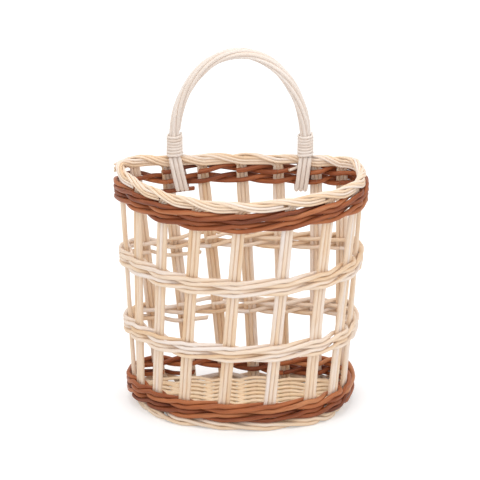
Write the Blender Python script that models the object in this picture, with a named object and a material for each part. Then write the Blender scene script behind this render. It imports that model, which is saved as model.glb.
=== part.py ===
import math

import bmesh
import bpy
import numpy as np
from mathutils import Vector

# Basket body: the wall line is the middle of the upright stakes, seen from above
RIM_WIDTH = 0.2185
RIM_DEPTH = 0.1160
FOOT_WIDTH = 0.1950
FOOT_DEPTH = 0.0970
RIM_HEIGHT = 0.2262
CLEARANCE = 0.0003
CHORD_ALLOWANCE = 0.0002

# Upright stakes: three rods side by side, thinned where they turn down into the border
STAKE_ROD_RADIUS = 0.0019
STAKE_ROD_PITCH = 0.0037
BORDER_ROD_RADIUS = 0.00135
BORDER_BEND_RADIUS = 0.0070
BORDER_ROLL_SPARE = 0.0006

# Woven bands: three strands each, two rows high, and one row of strands at the foot
BAND_STRAND_RADIUS = 0.0019
WALE_STRAND_RADIUS = 0.0022
RIM_WALE_GAP = 0.0003
UPPER_BAND_HEIGHT = 0.1470
LOWER_BAND_HEIGHT = 0.0800
FOOT_STRAND_RADIUS = 0.0019
CORNER_ROOM = 0.0015
STRAND_SIDES = 4

# Base: a plain weave of one flattened weaver over straight sticks
BASE_STICK_RADIUS = 0.0010
BASE_STICK_PITCH = 0.0300
BASE_STICK_OFFSET = 0.0012
BASE_STICK_COUNT = 6
WEAVER_HALF_WIDTH = 0.00185
WEAVER_HALF_HEIGHT = 0.0012
WEAVER_SHORTEST_ROW = 0.0240
BASE_EDGE_STEPS = 8

# Handle: long rods doubled over the arch, hooked under the rim wale at both legs
HANDLE_ROD_RADIUS = 0.0015
HANDLE_SPAN = 0.1188
HANDLE_RISE = 0.1091
GATHER_RISE = 0.00455
HANDLE_ROPE_RADIUS = 0.0034
HANDLE_LEG_PITCH = 0.0040
LEFT_HOOK_X = -0.0524
RIGHT_HOOK_X = 0.0553
HOOK_DROP = 0.0022
HANDLE_TWISTS = 2
ARCH_STEPS = 20
HANDLE_SIDES = 5

# Binding round each leg of the handle
BINDING_RADIUS = 0.00115
BINDING_PITCH = 0.00275
BINDING_TURNS = 7

# Shares used by the shapes below
valley_share = 0.25
border_middle_share = 0.35
gather_share = 0.5
corner_pass_share = 1.0
shoulder_middle_share = 0.85
shoulder_side_share = 0.65
return_end_share = 0.035
back_share_range = (0.33, 0.66)

# Plan of the wall at the rim and on the ground: (share of half the width, share of the depth)
rim_plan_shares = [
    (0.02, 1.0), (0.3, 0.955), (0.57, 0.85), (0.73, 0.772), (0.86, 0.668), (0.95, 0.56),
    (1.0, 0.4), (0.985, 0.2), (0.9, 0.08), (0.6, 0.045), (0.3, 0.03), (0.0, 0.0),
    (-0.3, 0.02), (-0.6, 0.045), (-0.88, 0.055), (-0.985, 0.16), (-0.97, 0.31), (-0.885, 0.483),
    (-0.74, 0.67), (-0.61, 0.79), (-0.42, 0.905), (-0.22, 0.975),
]
foot_plan_shares = [
    (0.1, 1.0), (0.41, 0.955), (0.62, 0.885), (0.745, 0.83), (0.843, 0.755), (0.925, 0.64),
    (0.985, 0.47), (1.0, 0.24), (0.93, 0.075), (0.65, 0.035), (0.3, 0.02), (0.0, 0.0),
    (-0.3, 0.01), (-0.6, 0.03), (-0.86, 0.05), (-0.975, 0.18), (-0.995, 0.38), (-0.915, 0.565),
    (-0.79, 0.7), (-0.63, 0.83), (-0.42, 0.915), (-0.17, 0.97),
]

# Where each stake stands along the wall line, from the front middle round by the right
rim_station_shares = [
    -0.003, 0.0786, 0.1504, 0.2094, 0.256, 0.3328, 0.3752, 0.438,
    0.4996, 0.5654, 0.6239, 0.6766, 0.7287, 0.7995, 0.8625, 0.9254,
]
foot_station_shares = [
    -0.0482, 0.0263, 0.1184, 0.1853, 0.228, 0.3135, 0.3665, 0.4197,
    0.474, 0.5294, 0.5951, 0.657, 0.7290, 0.770, 0.830, 0.886,
]
stake_count = len(rim_station_shares)
WALE_START = 10

# Colours: red, green, blue and roughness
natural_rod = (0.80, 0.63, 0.43, 0.62)
brown_rod = (0.36, 0.13, 0.055, 0.50)
handle_rod = (0.86, 0.74, 0.62, 0.60)


def clear_scene():
    for item in list(bpy.data.objects):
        bpy.data.objects.remove(item, do_unlink=True)


def make_material(name, look):
    material = bpy.data.materials.new(name)
    material.use_nodes = True
    shader = material.node_tree.nodes["Principled BSDF"]
    red, green, blue, roughness = look
    shader.inputs["Base Color"].default_value = (red, green, blue, 1)
    shader.inputs["Roughness"].default_value = roughness
    shader.inputs["Metallic"].default_value = 0
    return material


def sample_plan(corner_shares, steps_per_span=40):
    """Closed smooth curve through the plan's points, as dense shares."""
    corners = np.array(corner_shares)
    samples = []
    for index in range(len(corners)):
        before, start, end, after = (corners[(index + shift) % len(corners)] for shift in (-1, 0, 1, 2))
        for step in range(steps_per_span):
            part = step / steps_per_span
            samples.append(0.5 * (
                2 * start + (end - before) * part
                + (2 * before - 5 * start + 4 * end - after) * part ** 2
                + (3 * start - before - 3 * end + after) * part ** 3
            ))
    return np.array(samples + samples[:1])


rim_line = sample_plan(rim_plan_shares) * np.array([RIM_WIDTH / 2, -RIM_DEPTH])
foot_line = sample_plan(foot_plan_shares) * np.array([FOOT_WIDTH / 2, -FOOT_DEPTH])
rim_steps = np.linalg.norm(np.diff(rim_line, axis=0), axis=1)
plan_lengths = np.concatenate([[0], np.cumsum(rim_steps)]) / rim_steps.sum()


def plan_point(share, height):
    """Point of the wall line, with the back of the wall at y = 0 and the front at -depth."""
    rise = height / RIM_HEIGHT
    place = share % 1
    foot, rim = (
        Vector((np.interp(place, plan_lengths, line[:, 0]), np.interp(place, plan_lengths, line[:, 1]), 0))
        for line in (foot_line, rim_line)
    )
    point = foot.lerp(rim, rise)
    point.z = height
    return point


def plan_normal(share, height):
    """Outward direction of the wall, level with the ground."""
    step_share = 1 / len(rim_steps)
    along = plan_point(share + step_share, height) - plan_point(share - step_share, height)
    return Vector((along.y, -along.x, 0)).normalized()


def station_share(station, height):
    """Share of the wall line at a stake number, which may lie between two stakes."""
    whole = math.floor(station)
    part = station - whole
    turn, index = divmod(whole, stake_count)
    next_turn, next_index = divmod(whole + 1, stake_count)
    rise = height / RIM_HEIGHT

    def at(table):
        first = table[index] + turn
        second = table[next_index] + next_turn
        return first + (second - first) * part

    return at(foot_station_shares) * (1 - rise) + at(rim_station_shares) * rise


def wall_point(station, height, outward=0, rise=0):
    """Point beside the wall line: outward from it, and above the given height."""
    share = station_share(station, height)
    point = plan_point(share, height) + plan_normal(share, height) * outward
    point.z += rise
    return point


def wall_normal(station, height):
    return plan_normal(station_share(station, height), height)


def stake_gap(station, height):
    """Distance along the wall from one stake to the next."""
    return (wall_point(station + 1, height) - wall_point(station, height)).length


def finish_mesh(name, shape, material, parent):
    bmesh.ops.recalc_face_normals(shape, faces=shape.faces)
    mesh = bpy.data.meshes.new(name)
    shape.to_mesh(mesh)
    shape.free()
    mesh.shade_smooth()
    mesh.set_sharp_from_angle(angle=math.radians(55))
    mesh.materials.append(material)
    item = bpy.data.objects.new(name, mesh)
    bpy.context.scene.collection.objects.link(item)
    item.parent = parent
    return item


def sweep(name, stations, material, parent):
    """Closed solid extruded through sections, each a list of points in the same order."""
    shape = bmesh.new()
    first = shape.faces.new([shape.verts.new(point) for point in stations[0]])
    face = first
    for section in stations[1:]:
        made = bmesh.ops.extrude_face_region(shape, geom=[face])
        if face is not first:
            shape.faces.remove(face)
        face = next(item for item in made["geom"] if isinstance(item, bmesh.types.BMFace))
        for corner, point in zip(face.verts, section):
            corner.co = point
    return finish_mesh(name, shape, material, parent)


def directions(points):
    """Direction of the path at each point, halfway between its two runs."""
    runs = [(after - before).normalized() for before, after in zip(points, points[1:])]
    middle = [(first + second).normalized() for first, second in zip(runs, runs[1:])]
    return [runs[0]] + middle + [runs[-1]]


def place_section(centre, along, facing, profile, size_share=1):
    """Profile points round a centre: first value across the path, second value facing."""
    across = along.cross(facing).normalized()
    outward = across.cross(along).normalized()
    return [centre + (across * side + outward * front) * size_share for side, front in profile]


def round_profile(radius, sides, half_width=None):
    half_width = half_width or radius
    angles = [math.tau * index / sides for index in range(sides)]
    return [(half_width * math.cos(angle), radius * math.sin(angle)) for angle in angles]


def rod(name, points, facings, radius, sides, material, parent, half_width=None):
    profile = round_profile(radius, sides, half_width)
    sections = [
        place_section(point, along, facing, profile)
        for point, along, facing in zip(points, directions(points), facings)
    ]
    return sweep(name, sections, material, parent)


def three_rod_profile(radius, pitch):
    """Outline of three rods lying side by side."""
    valley = math.sqrt(max(radius ** 2 - (pitch / 2) ** 2, 0)) + radius * valley_share
    tops = [(-pitch, radius), (-pitch / 2, valley), (0, radius), (pitch / 2, valley), (pitch, radius)]
    end = pitch + radius
    return [(-end, 0)] + tops + [(end, 0)] + [(side, -front) for side, front in reversed(tops)]


border_size_share = BORDER_ROD_RADIUS / STAKE_ROD_RADIUS
border_half_width = (STAKE_ROD_PITCH + STAKE_ROD_RADIUS) * border_size_share
border_side = 2 * BORDER_ROD_RADIUS + CLEARANCE + CHORD_ALLOWANCE
border_pivot = border_half_width - BORDER_ROD_RADIUS
border_roll_reach = border_side + BORDER_ROLL_SPARE
rim_top = RIM_HEIGHT + border_pivot + border_roll_reach + BORDER_ROD_RADIUS
border_vertex_shares = (0.57, 0.87)
border_roll_shares = (0.42, 0.57, 0.72, 0.87)
border_end_share = 0.12
wall_steps = 3
wale_half_height = 4 * WALE_STRAND_RADIUS + CLEARANCE
rim_wale_height = RIM_HEIGHT - border_half_width - RIM_WALE_GAP - wale_half_height


def bend_share(number):
    """Share of the way to the next stake that the bend of a stake takes."""
    return BORDER_BEND_RADIUS / stake_gap(number, RIM_HEIGHT)


def border_places(number):
    """Places of the border's corners, from a stake to the next one."""
    return [0, bend_share(number), *border_vertex_shares, 1]


def border_corner(number, index):
    """Corner of the border's line and its sideways direction, which keeps offset lines parallel."""
    places = border_places(number)
    before = number + places[index - 1] if index else number - 1 + places[-2]
    after = number + places[index + 1] if index + 1 < len(places) else number + 1 + bend_share(number + 1)
    here = number + places[index]
    first, point, last = (wall_point(station, RIM_HEIGHT) for station in (before, here, after))
    sides = [Vector((run.y, -run.x, 0)).normalized() for run in (point - first, last - point)]
    return point, (sides[0] + sides[1]) / (1 + sides[0].dot(sides[1]))


def border_point(station, outward=0, rise=0):
    """Point on the border's line, which runs straight between its corners."""
    number = math.floor(station)
    part = station - number
    places = border_places(number)
    index = next(index for index, last in enumerate(places[1:]) if part <= last)
    ends = [point + side * outward for point, side in (border_corner(number, index + way) for way in (0, 1))]
    point = ends[0].lerp(ends[1], (part - places[index]) / (places[index + 1] - places[index]))
    point.z = RIM_HEIGHT + rise
    return point


def border_path(number):
    """Border part of one stake: points, facing angles and stations."""
    bend = bend_share(number)
    path = []
    for part in (0.5, 1):
        angle = math.pi / 2 * part
        share = bend * (1 - math.cos(angle))
        rise = BORDER_BEND_RADIUS * (math.sin(angle) - 1)
        path.append((border_point(number + share, 0, rise), math.pi, number + share))
    middle, far = border_vertex_shares
    path.append((border_point(number + middle, -border_side * border_middle_share), math.pi, number + middle))
    next_bend = bend_share(number + 1)
    for share in (far, 1, 1 + next_bend):
        path.append((border_point(number + share, -border_side), math.pi, number + share))
    count = len(border_roll_shares)
    for step, share in enumerate(border_roll_shares):
        angle = math.pi * (count - 1 - step) / count
        slide = border_pivot * (2 * angle / math.pi - 1)
        outward = border_roll_reach * math.cos(angle) - slide * math.sin(angle)
        rise = border_pivot + border_roll_reach * math.sin(angle) + slide * math.cos(angle)
        station = number + 1 + share
        path.append((border_point(station, outward, rise), angle, station))
    for share in (2, 2 + border_end_share):
        path.append((border_point(number + share, border_side), 0, number + share))
    return path


def stake(number, material, parent):
    """One group of three rods: up the wall, then along and over the rim as its border."""
    bend_start = RIM_HEIGHT - BORDER_BEND_RADIUS
    profile = three_rod_profile(STAKE_ROD_RADIUS, STAKE_ROD_PITCH)
    wall = [wall_point(number, bend_start * step / wall_steps) for step in range(wall_steps + 1)]
    border = border_path(number)
    points = wall + [item[0] for item in border]
    sections = []
    for index, along in enumerate(directions(points)):
        if index <= wall_steps:
            facing = -wall_normal(number, points[index].z)
        else:
            angle, station = border[index - wall_steps - 1][1:]
            facing = wall_normal(station, RIM_HEIGHT) * math.cos(angle) + Vector((0, 0, math.sin(angle)))
        size_share = 1 if index < wall_steps else border_size_share
        sections.append(place_section(points[index], along, facing, profile, size_share))
    for corner in sections[0]:
        corner.z = 0
    return sweep(f"stake_{number + 1:02d}", sections, material, parent)


def crossing_shift(station, height):
    """How far outside the wall line the strands cross between two stakes: more at a corner."""
    turn = wall_normal(math.floor(station), height).angle(wall_normal(math.ceil(station), height))
    return CORNER_ROOM * turn if station % 1 else 0


def strand_reach(strand_radius):
    """How far from the wall line a strand passes a stake."""
    return STAKE_ROD_RADIUS + strand_radius + CLEARANCE + CHORD_ALLOWANCE


def passing_points(number, level, climb, strand_radius, side):
    """Points of a strand before and after a stake, far enough apart to clear its outer rods."""
    normal = wall_normal(number, level(number))
    along = Vector((-normal.y, normal.x, 0))
    points = []
    for way in (-1, 1):
        here = wall_point(number, level(number))
        crossing = wall_point(number + way / 2, here.z, crossing_shift(number + way / 2, here.z))
        outer_rod = here + along * way * STAKE_ROD_PITCH
        place = STAKE_ROD_PITCH
        half_gap = (crossing - here).length
        while place < half_gap:
            point = here + along * way * place + normal * side * strand_reach(strand_radius)
            if line_distance(outer_rod, point, crossing) > STAKE_ROD_RADIUS + strand_radius + CLEARANCE:
                break
            place += CLEARANCE
        point.z = level(number + way * place / half_gap / 2) + climb
        points.append(point)
    return points


def strand_path(first, steps, level, strand_radius):
    """Points of one strand: inside a stake, then outside of the next two, and in again."""
    climb = strand_radius + CLEARANCE / 2
    outward_signs = (-1, 0, 1, 1, 1, 0)
    climb_signs = (0, -1, -1, 0, 1, 1)
    points = []
    facings = []
    for step in range(steps + 1):
        station = first + step / 2
        side = outward_signs[step % 6]
        rise = climb_signs[step % 6] * climb
        height = level(station) + rise
        if step % 2 == 0:
            points += passing_points(first + step // 2, level, rise, strand_radius, side)
            facings += [wall_normal(station, height)] * 2
        else:
            outward = crossing_shift(station, height)
            if side:
                outward = outward * corner_pass_share + strand_reach(strand_radius)
            points.append(wall_point(station, height, outward))
            facings.append(wall_normal(station, height))
    return points, facings


ramp_stations = 3
strand_stations = 30


def band_level(centre, radius, rising_end):
    """Height of the band's rows: two level turns, with one step up near the join."""
    row_pitch = 4 * radius + 2 * CLEARANCE

    def level(station):
        turn, along = divmod(station - WALE_START, stake_count)
        if rising_end:
            ramp = max(0, (along - stake_count + ramp_stations) / ramp_stations)
            return centre + row_pitch * (turn + ramp - 0.5)
        ramp = min(1, along / ramp_stations)
        return centre + row_pitch * (turn + ramp - 1.5)

    return level


def wale(name, centre, radius, material, parent, rising_end=False):
    level = band_level(centre, radius, rising_end)
    for index, letter in enumerate("abc"):
        points, facings = strand_path(WALE_START + index, 2 * strand_stations, level, radius)
        rod(f"{name}_{letter}", points, facings, radius, STRAND_SIDES, material, parent)


foot_border_height = 2 * FOOT_STRAND_RADIUS + CLEARANCE / 2 + CLEARANCE
foot_border_top = 2 * foot_border_height - CLEARANCE
foot_wale_height = foot_border_top + wale_half_height + 2 * CLEARANCE


base_lift = BASE_STICK_RADIUS + WEAVER_HALF_HEIGHT + CLEARANCE
base_height = foot_border_top + CLEARANCE - base_lift - WEAVER_HALF_HEIGHT


def foot_strand(index):
    """Points of one strand of the single row round the lower ends of the stakes."""
    steps = 2 * (stake_count - 1) - min(index, 1)
    return strand_path(WALE_START + index, steps, lambda station: foot_border_height, FOOT_STRAND_RADIUS)


def foot_border(material, parent):
    for index, letter in enumerate("abc"):
        points, facings = foot_strand(index)
        rod(f"foot_border_{letter}", points, facings, FOOT_STRAND_RADIUS, STRAND_SIDES, material, parent)


def base_edge(height, inset):
    """Line inside the foot border's strands, as points."""
    line = []
    for step in range(BASE_EDGE_STEPS * stake_count):
        number, part = divmod(step, BASE_EDGE_STEPS)
        part /= BASE_EDGE_STEPS
        reach = strand_reach(FOOT_STRAND_RADIUS) + FOOT_STRAND_RADIUS + CLEARANCE
        line.append(wall_point(number + part, height, -(reach + inset)))
    return line


def foot_obstacles():
    """Centre lines, with their radii, that the ends of the base's sticks stop at."""
    found = []
    for index in range(3):
        points, facings = foot_strand(index)
        found += [(start, end, FOOT_STRAND_RADIUS) for start, end in zip(points, points[1:])]
    for number in range(stake_count):
        low, high = wall_point(number, 0), wall_point(number, foot_border_top)
        normal = wall_normal(number, 0)
        along = Vector((-normal.y, normal.x, 0)) * STAKE_ROD_PITCH
        found += [(low + along * way, high + along * way, STAKE_ROD_RADIUS) for way in (-1, 0, 1)]
    return found


def stick_end(stick, start, way, obstacles):
    """Run a stick's end out to the nearest rod of the foot."""
    rim = [Vector((across, 0, up)) for across, up in round_profile(BASE_STICK_RADIUS, 6)]
    place = start
    while True:
        following = place + way * CLEARANCE / 2
        for corner in rim:
            point = Vector((stick, following, base_height)) + corner
            if any(line_distance(point, first, last) < radius + CLEARANCE for first, last, radius in obstacles):
                return place
        place = following


def line_distance(point, start, end):
    run = end - start
    part = min(1, max(0, (point - start).dot(run) / run.length_squared))
    return (start + run * part - point).length


def crossings(line, axis, value):
    """Lowest and highest place where a closed line crosses a value of x (axis 0) or y (axis 1)."""
    other = 1 - axis
    found = []
    for start, end in zip(line, line[1:] + line[:1]):
        if (start[axis] - value) * (end[axis] - value) <= 0 and start[axis] != end[axis]:
            part = (value - start[axis]) / (end[axis] - start[axis])
            found.append(start[other] + (end[other] - start[other]) * part)
    return (min(found), max(found)) if found else None


def weaver_rows():
    """Rows of the base from back to front: how far back, left end and right end.

    Two rows that a turn joins share that end.
    """
    line = base_edge(base_height, WEAVER_HALF_WIDTH)
    front, back = crossings(line, 0, 0)
    rows = []
    place = back - WEAVER_HALF_WIDTH
    while place > front:
        spans = [crossings(line, 1, place + side) for side in (-WEAVER_HALF_WIDTH, 0, WEAVER_HALF_WIDTH)]
        if all(spans):
            left = max(low for low, high in spans)
            right = min(high for low, high in spans)
            if right - left > WEAVER_SHORTEST_ROW:
                rows.append([place, left, right])
        place -= 2 * WEAVER_HALF_WIDTH + CLEARANCE
    for number, (row, following) in enumerate(zip(rows, rows[1:])):
        if number % 2:
            row[1] = following[1] = max(row[1], following[1])
        else:
            row[2] = following[2] = min(row[2], following[2])
    return rows


def base(material, parent):
    """Sticks from front to back, and one weaver snaking from side to side."""
    rows = weaver_rows()
    obstacles = foot_obstacles()
    end_room = BASE_STICK_RADIUS + 3 * WEAVER_HALF_WIDTH
    middle = (BASE_STICK_COUNT - 1) / 2
    up = Vector((0, 0, 1))
    crossed = {}
    for index in range(BASE_STICK_COUNT):
        stick = BASE_STICK_OFFSET + (index - middle) * BASE_STICK_PITCH
        beside = [left + end_room < stick < right - end_room for place, left, right in rows]
        held = [
            number for number in range(len(rows))
            if all(beside[max(0, number - 1):number + 2])
        ]
        back = rows[held[0]][0] + WEAVER_HALF_WIDTH
        front = rows[held[-1]][0] - WEAVER_HALF_WIDTH
        if held[0] == 0:
            back = stick_end(stick, back, 1, obstacles)
        if held[-1] == len(rows) - 1:
            front = stick_end(stick, front, -1, obstacles)
        points = [Vector((stick, front, base_height)), Vector((stick, back, base_height))]
        rod(f"base_stick_{index + 1}", points, [up, up], BASE_STICK_RADIUS, 6, material, parent)
        for number in held:
            side = 1 if (number + index) % 2 else -1
            crossed.setdefault(number, []).append(Vector((stick, rows[number][0], base_height + side * base_lift)))

    points = []
    for number, (place, left, right) in enumerate(rows):
        row = [Vector((left, place, base_height)), *crossed.get(number, []), Vector((right, place, base_height))]
        points += row if number % 2 == 0 else row[::-1]
    rod("base_weaver", points, [up] * len(points), WEAVER_HALF_HEIGHT, 4, material, parent, WEAVER_HALF_WIDTH)


hook_height = rim_wale_height - wale_half_height - CLEARANCE - HANDLE_ROD_RADIUS - HOOK_DROP
leg_x = HANDLE_SPAN / 2
binding_base = rim_top + BINDING_RADIUS + CLEARANCE
gather_height = binding_base + BINDING_PITCH * BINDING_TURNS * gather_share
arch_start = gather_height + GATHER_RISE
shoulder_height = RIM_HEIGHT + border_half_width


def back_wall(place, height):
    """How far back the wall line lies at a place across the back."""
    low, high = back_share_range
    steps = len(rim_steps)
    points = [plan_point(low + (high - low) * step / steps, height) for step in range(steps)]
    return min(points, key=lambda point: abs(point.x - place)).y


def handle_plane():
    return (back_wall(leg_x, RIM_HEIGHT) + back_wall(-leg_x, RIM_HEIGHT)) / 2


def hook_reach():
    """How far in or out a handle leg passes the rim wale."""
    return strand_reach(WALE_STRAND_RADIUS) + WALE_STRAND_RADIUS + CLEARANCE + HANDLE_ROD_RADIUS


def border_reach():
    """How far in or out a handle leg passes the rolling border."""
    angle = math.pi / 4
    slide = border_pivot * (1 - 2 * angle / math.pi)
    middle = border_roll_reach * math.cos(angle) + slide * math.sin(angle)
    return middle + border_pivot * math.sin(angle) + BORDER_ROD_RADIUS + HANDLE_ROD_RADIUS + 2 * CLEARANCE


def leg_offsets(slot, height):
    """Sideways and front-to-back distance of a rod from the middle of its leg."""
    angle = math.radians(150 - 60 * slot)
    spread = (slot - 1) * HANDLE_LEG_PITCH
    shoulder = border_reach()
    arched = shoulder * (shoulder_middle_share if slot == 1 else shoulder_side_share)
    heights = [rim_wale_height + wale_half_height, shoulder_height, binding_base, gather_height]
    sideways = [spread, spread, spread * shoulder_middle_share, HANDLE_ROPE_RADIUS * math.cos(angle)]
    deep = [hook_reach(), shoulder, arched, HANDLE_ROPE_RADIUS * math.sin(angle)]
    return np.interp(height, heights, sideways), np.interp(height, heights, deep)


def leg_points(side, slot, hook_x):
    """Points of one rod on one side of a leg, from the hook up to the foot of the arch."""
    plane = handle_plane()
    top_x = math.copysign(leg_x, hook_x)
    heights = (
        rim_wale_height - wale_half_height, rim_wale_height + wale_half_height,
        shoulder_height, binding_base, gather_height,
    )
    points = []
    for height in heights:
        sideways, deep = leg_offsets(slot, height)
        part = min(1, (height - hook_height) / (binding_base - hook_height))
        place = hook_x + (top_x - hook_x) * part + sideways
        middle = back_wall(place, height) if height < binding_base else plane
        points.append(Vector((place, middle + side * deep, height)))
    return points


def hook_points(slot, hook_x):
    """Turn of a rod under the rim wale, from outside to inside."""
    reach = hook_reach()
    place = hook_x + (slot - 1) * HANDLE_LEG_PITCH
    height = rim_wale_height - wale_half_height
    points = []
    for step in (1, 2, 3):
        angle = math.pi * step / 4
        points.append(Vector((
            place, back_wall(place, height) + reach * math.cos(angle),
            height - (height - hook_height) * math.sin(angle),
        )))
    return points


def arch_point(share, angle, plane):
    """Point of a rod in the twisted arch, from the left leg over the top to the right leg."""
    rise = RIM_HEIGHT + HANDLE_RISE - arch_start - HANDLE_ROPE_RADIUS - HANDLE_ROD_RADIUS
    around = math.pi * (1 - share)
    centre = Vector((leg_x * math.cos(around), plane, arch_start + rise * math.sin(around)))
    outward = Vector((rise * math.cos(around), 0, leg_x * math.sin(around))).normalized()
    turned = angle + math.tau * HANDLE_TWISTS * share
    return centre + (outward * math.cos(turned) + Vector((0, 1, 0)) * math.sin(turned)) * HANDLE_ROPE_RADIUS


def handle_rod_points(slot):
    """Whole route of one rod: down and up the left leg, over the arch, down and up the right leg, and back."""
    plane = handle_plane()
    mirrored = 2 - slot
    left_outside = leg_points(1, slot, LEFT_HOOK_X)
    left_inside = leg_points(-1, slot, LEFT_HOOK_X)
    right_outside = leg_points(1, mirrored, RIGHT_HOOK_X)
    right_inside = leg_points(-1, mirrored, RIGHT_HOOK_X)
    start = left_outside[-1].copy()
    start.z = arch_start - 2 * HANDLE_ROD_RADIUS
    angle = math.radians(30 + 60 * slot)
    forward = [arch_point(step / ARCH_STEPS, -angle, plane) for step in range(ARCH_STEPS + 1)]
    backward = [arch_point(1 - step / ARCH_STEPS, angle, plane) for step in range(ARCH_STEPS)]
    backward.append(arch_point(return_end_share, angle, plane))
    return (
        [start] + left_outside[::-1] + hook_points(slot, LEFT_HOOK_X) + left_inside + forward
        + right_inside[::-1] + hook_points(mirrored, RIGHT_HOOK_X)[::-1] + right_outside + backward
    )


def steady_facings(points):
    """Facing directions square to the path, turned as little as may be."""
    facing = Vector((1, 0, 0))
    facings = []
    for along in directions(points):
        facing = (facing - along * facing.dot(along)).normalized()
        facings.append(facing)
    return facings


def handle(material, parent):
    for slot, letter in enumerate("abc"):
        points = handle_rod_points(slot)
        rod(f"handle_rod_{letter}", points, steady_facings(points), HANDLE_ROD_RADIUS, HANDLE_SIDES,
            material, parent)


def binding_corner(corner, height):
    """Corner of the eight-sided loop that just clears the six rods of a leg at a height."""
    rods = [leg_offsets(slot, height) for slot in (0, 1, 2)]
    spare = HANDLE_ROD_RADIUS + BINDING_RADIUS + CLEARANCE + 2 * CHORD_ALLOWANCE
    wide = max(abs(sideways) for sideways, deep in rods) + spare
    deep = max(deep for sideways, deep in rods) + spare
    slanted = max(abs(sideways) + deep for sideways, deep in rods) + spare * math.sqrt(2)
    quarter, odd = divmod(corner % 8, 2)
    first = (wide, slanted - wide)
    second = (slanted - deep, deep)
    across, back = (second if odd else first) if quarter % 2 == 0 else (first if odd else second)
    across_sign = 1 if quarter in (0, 3) else -1
    back_sign = 1 if quarter < 2 else -1
    return across * across_sign, back * back_sign


def binding(name, side, material, parent):
    """Thin rod wound round one leg above the rim, wider where the leg opens over the border."""
    plane = handle_plane()
    points = []
    for step in range(BINDING_TURNS * 8 + 1):
        height = binding_base + BINDING_PITCH * step / 8
        across, back = binding_corner(step, height)
        points.append(Vector((side * leg_x + across, plane + back, height)))
    for end, neighbour in ((0, 1), (-1, -2)):
        run = (points[end] - points[neighbour]).normalized() * 2 * BINDING_RADIUS
        points.insert(0 if end == 0 else len(points), points[end] + run)
    rod(name, points, steady_facings(points), BINDING_RADIUS, 6, material, parent)
    gap = least_gap(points, 4) - 2 * BINDING_RADIUS
    print(f"{name}: least gap to itself {gap * 1000:.2f} mm")


def least_gap(points, apart):
    """Least distance between runs of a path that are a number of steps apart."""
    least = None
    for index, point in enumerate(points):
        for other in range(index + apart, len(points) - 1):
            start, end = points[other], points[other + 1]
            distance = line_distance(point, start, end)
            least = distance if least is None else min(least, distance)
    return least


def seat_on_origin(parent):
    """Move everything so that the origin is below the middle of the planter, on the ground."""
    bpy.context.view_layer.update()
    corners = np.array([
        item.matrix_world @ corner.co
        for item in parent.children for corner in item.data.vertices
    ])
    low, high = corners.min(axis=0), corners.max(axis=0)
    parent.location = (-(low[0] + high[0]) / 2, -(low[1] + high[1]) / 2, -low[2])
    bpy.context.view_layer.update()


def build():
    clear_scene()
    planter = bpy.data.objects.new("planter", None)
    bpy.context.scene.collection.objects.link(planter)
    natural = make_material("natural_rod", natural_rod)
    brown = make_material("brown_rod", brown_rod)
    white = make_material("handle_rod", handle_rod)
    for number in range(stake_count):
        stake(number, natural, planter)
    wale("rim_wale", rim_wale_height, WALE_STRAND_RADIUS, brown, planter)
    wale("upper_band", UPPER_BAND_HEIGHT, BAND_STRAND_RADIUS, natural, planter)
    wale("lower_band", LOWER_BAND_HEIGHT, BAND_STRAND_RADIUS, natural, planter)
    wale("foot_wale", foot_wale_height, WALE_STRAND_RADIUS, brown, planter, rising_end=True)
    foot_border(natural, planter)
    base(natural, planter)
    handle(white, planter)
    binding("handle_binding_left", -1, white, planter)
    binding("handle_binding_right", 1, white, planter)
    seat_on_origin(planter)


build()
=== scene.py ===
import bisect
import math
import random

import bmesh
import bpy
from mathutils import Matrix, Vector, noise


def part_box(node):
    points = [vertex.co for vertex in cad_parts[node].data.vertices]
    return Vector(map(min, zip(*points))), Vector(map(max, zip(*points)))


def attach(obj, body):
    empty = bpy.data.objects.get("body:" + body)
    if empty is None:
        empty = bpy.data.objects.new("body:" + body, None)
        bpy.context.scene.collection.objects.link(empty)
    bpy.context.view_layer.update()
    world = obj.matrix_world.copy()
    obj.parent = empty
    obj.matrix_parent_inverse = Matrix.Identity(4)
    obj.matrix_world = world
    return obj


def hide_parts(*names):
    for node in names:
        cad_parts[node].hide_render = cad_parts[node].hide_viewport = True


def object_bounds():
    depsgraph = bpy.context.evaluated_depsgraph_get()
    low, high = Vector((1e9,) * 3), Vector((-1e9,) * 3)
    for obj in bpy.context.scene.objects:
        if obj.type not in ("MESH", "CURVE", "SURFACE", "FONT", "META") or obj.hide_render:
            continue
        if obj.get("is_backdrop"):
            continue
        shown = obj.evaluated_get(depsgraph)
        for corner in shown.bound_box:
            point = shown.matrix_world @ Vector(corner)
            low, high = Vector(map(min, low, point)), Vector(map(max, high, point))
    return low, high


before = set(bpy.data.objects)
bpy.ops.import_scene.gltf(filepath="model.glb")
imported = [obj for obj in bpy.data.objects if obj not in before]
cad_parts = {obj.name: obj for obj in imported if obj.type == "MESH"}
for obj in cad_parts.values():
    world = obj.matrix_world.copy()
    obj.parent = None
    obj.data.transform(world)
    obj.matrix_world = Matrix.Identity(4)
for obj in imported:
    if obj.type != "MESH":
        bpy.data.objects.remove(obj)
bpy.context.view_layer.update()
print("frame loaded")


# The wall line: middle of the uprights seen from above, as in the CAD, in metres

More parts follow.
